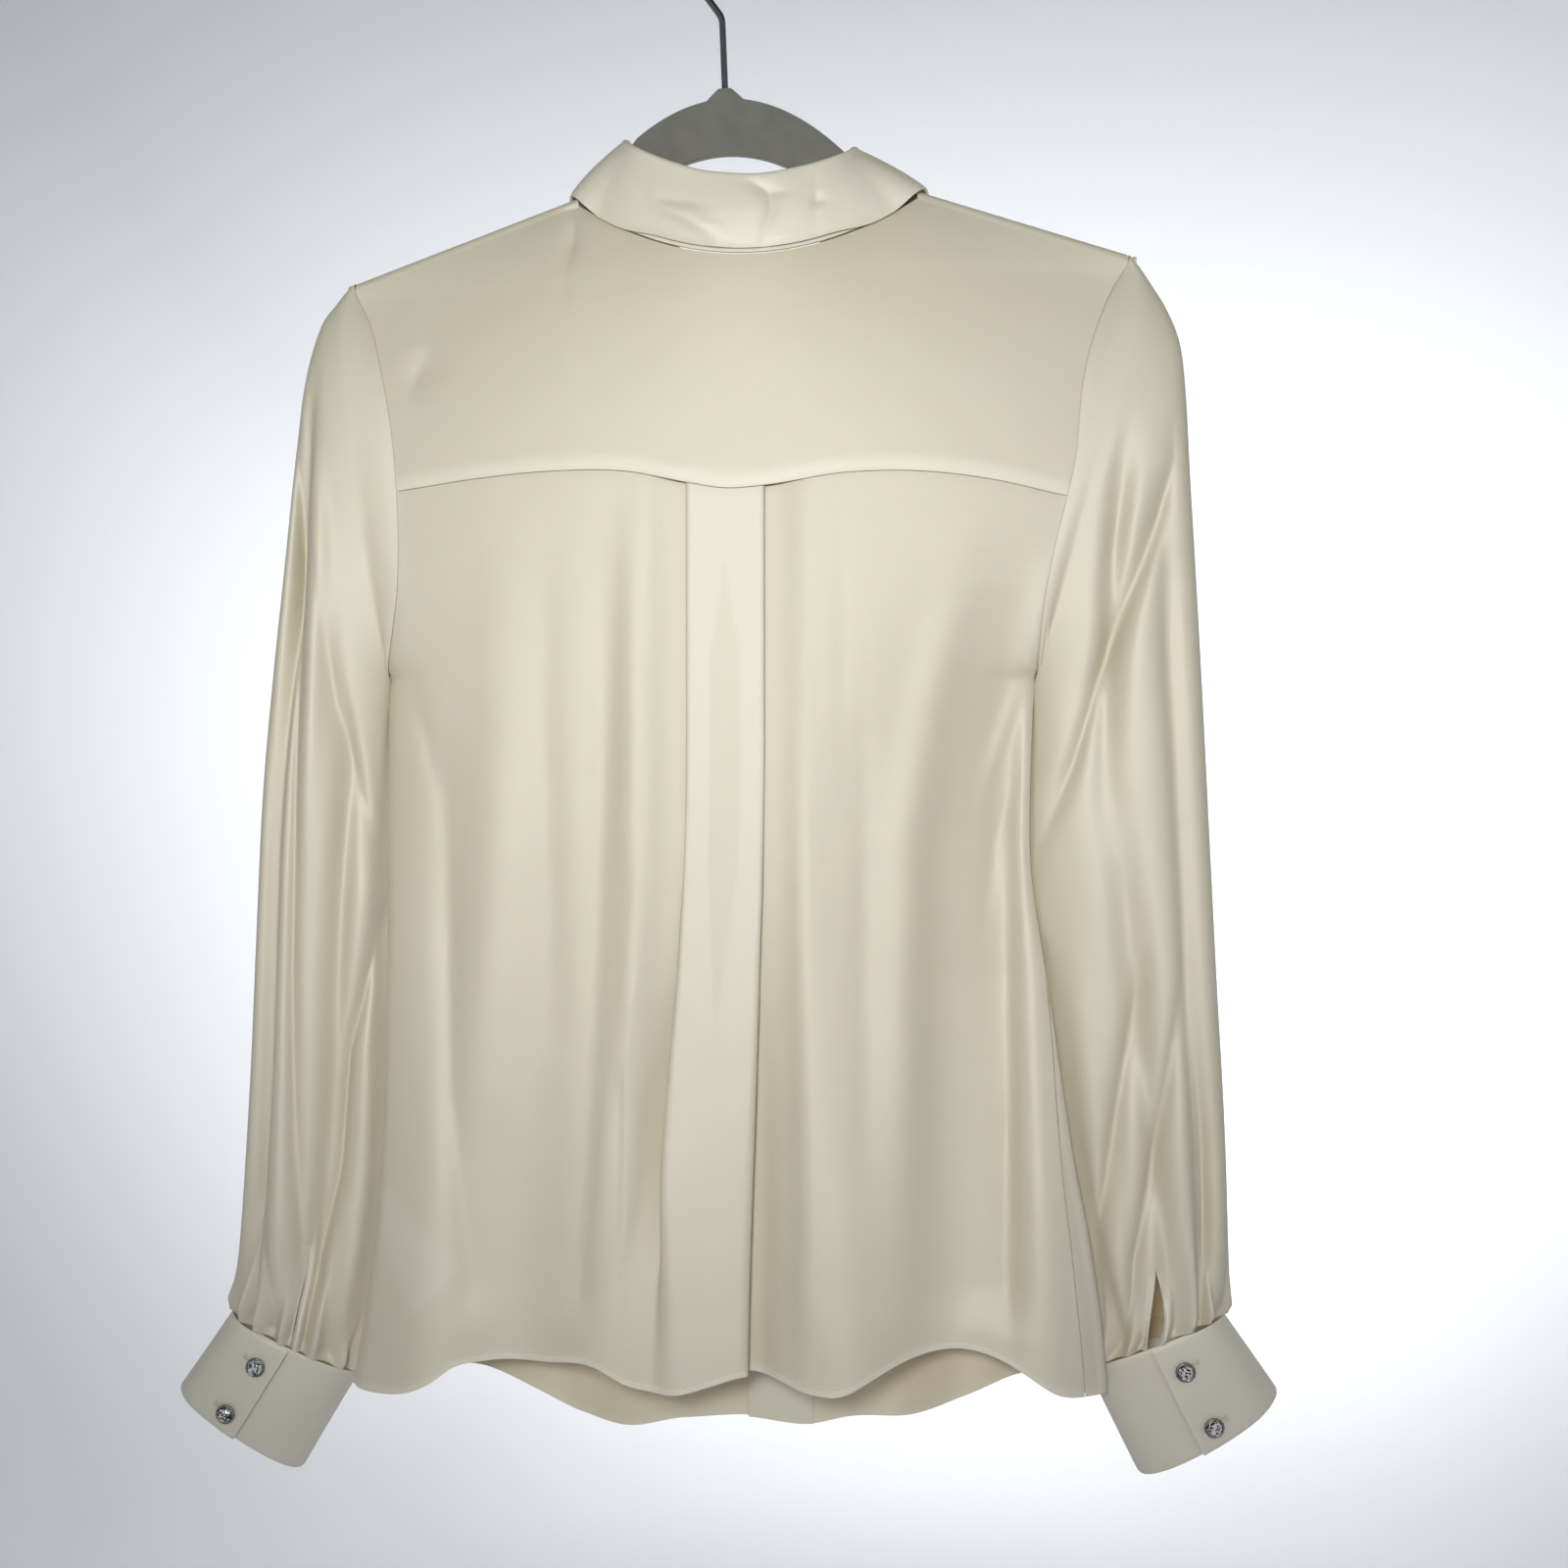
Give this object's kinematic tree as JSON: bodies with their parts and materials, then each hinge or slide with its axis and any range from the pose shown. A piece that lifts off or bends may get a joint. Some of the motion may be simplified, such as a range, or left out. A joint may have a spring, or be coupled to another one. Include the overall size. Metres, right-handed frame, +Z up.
{
  "type": "silk blouse on a clothes hanger",
  "caption": "Long-sleeved silk blouse with a turned-down collar, back yoke, box pleat and gathered cuffs, on a slim flocked hanger whose wire hook goes over a rail.",
  "frame": {"origin": "inside top of the hook, where a rail bears on it", "axes": "+Z up, +Y out of the blouse's front, +X to the right as seen from behind the garment"},
  "size_m": [0.5693, 0.0844, 0.8085],
  "materials": {
    "silk": "soft satin sheen",
    "button_metal": "polished",
    "label_tape": "matte woven tape",
    "flocking": "matte flock",
    "hook_wire": "polished"
  },
  "bodies": {
    "root": {"back": "silk", "band_left": "silk", "band_right": "silk", "button_front_1": "button_metal", "button_front_2": "button_metal", "button_front_3": "button_metal", "button_front_4": "button_metal", "button_front_5": "button_metal", "button_front_6": "button_metal", "button_front_7": "button_metal", "button_left_1": "button_metal", "button_left_2": "button_metal", "button_right_1": "button_metal", "button_right_2": "button_metal", "care_label": "label_tape", "collar_leaf": "silk", "collar_stand": "silk", "cuff_left": "silk", "cuff_right": "silk", "front_left": "silk", "front_right": "silk", "hanger": "flocking", "hook": "hook_wire", "sleeve_left": "silk", "sleeve_right": "silk", "yoke": "silk"}
  },
  "joints": []
}
